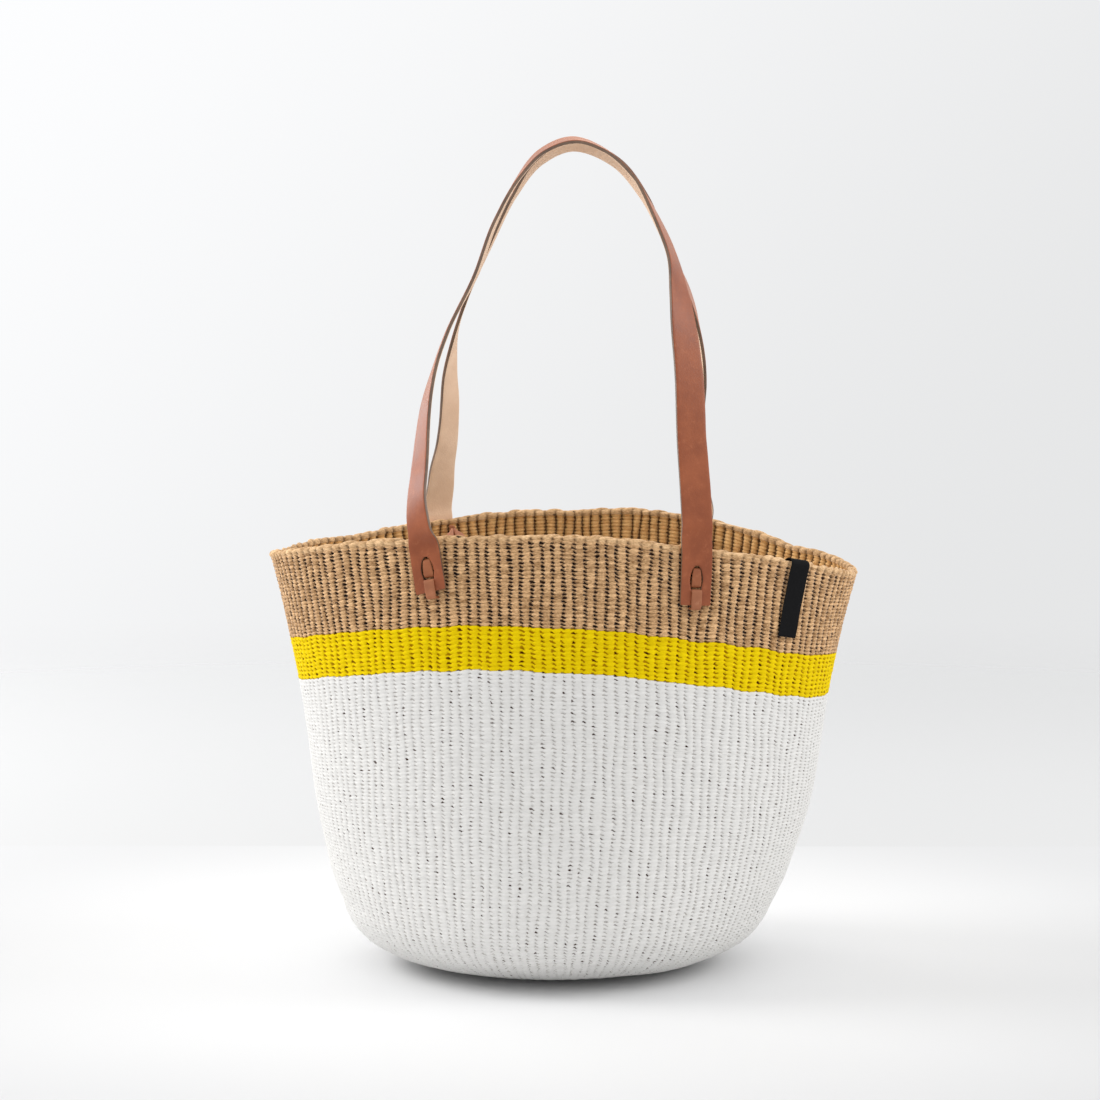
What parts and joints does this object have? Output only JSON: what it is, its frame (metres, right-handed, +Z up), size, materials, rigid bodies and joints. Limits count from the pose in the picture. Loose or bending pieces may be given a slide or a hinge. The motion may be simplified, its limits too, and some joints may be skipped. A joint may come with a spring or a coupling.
{
  "type": "kiondo basket",
  "caption": "Oval woven basket with a flat base, a flaring saddle-shaped mouth, colour bands below the rim and two long leather carrying straps laced on outside.",
  "frame": {"origin": "on the floor, under the middle of the basket's mouth", "axes": "+Z up, +X to the right along the mouth's long axis as seen from the front, -Y the front"},
  "size_m": [0.3788, 0.2728, 0.5324],
  "materials": {
    "white_weave": "bright white twined paper-like cord, matt",
    "yellow_weave": "strong yellow twined cord, matt",
    "tan_weave": "natural tan twined cord, matt with a slight sheen",
    "border_weave": "pale tan rolled border cord",
    "strap_leather": "reddish-brown vegetable-tanned leather, smooth grain side, pale flesh side, dark burnished edges",
    "lace_leather": "soft reddish-brown leather thong",
    "label_cloth": "black woven tape, plain"
  },
  "bodies": {
    "basket": {"base_disc": "white_weave", "white_wall": "white_weave", "yellow_band": "yellow_weave", "tan_band": "tan_weave", "rim_border": "border_weave", "front_strap_left_end": "strap_leather", "front_strap_right_end": "strap_leather", "back_strap_left_end": "strap_leather", "back_strap_right_end": "strap_leather", "front_left_lace": "lace_leather", "front_right_lace": "lace_leather", "back_left_lace": "lace_leather", "back_right_lace": "lace_leather", "label": "label_cloth"},
    "front_strap": {"front_strap_loop": "strap_leather"},
    "back_strap": {"back_strap_loop": "strap_leather"}
  },
  "joints": [
    {"name": "front_strap_fold", "type": "hinge", "parent": "basket", "child": "front_strap", "pos_m": [0, -0.1165, 0.28447], "axis": [1, 0, 0], "range_deg": [0, 170]},
    {"name": "back_strap_fold", "type": "hinge", "parent": "basket", "child": "back_strap", "pos_m": [0, 0.11597, 0.27941], "axis": [-1, 0, 0], "range_deg": [0, 170]}
  ]
}
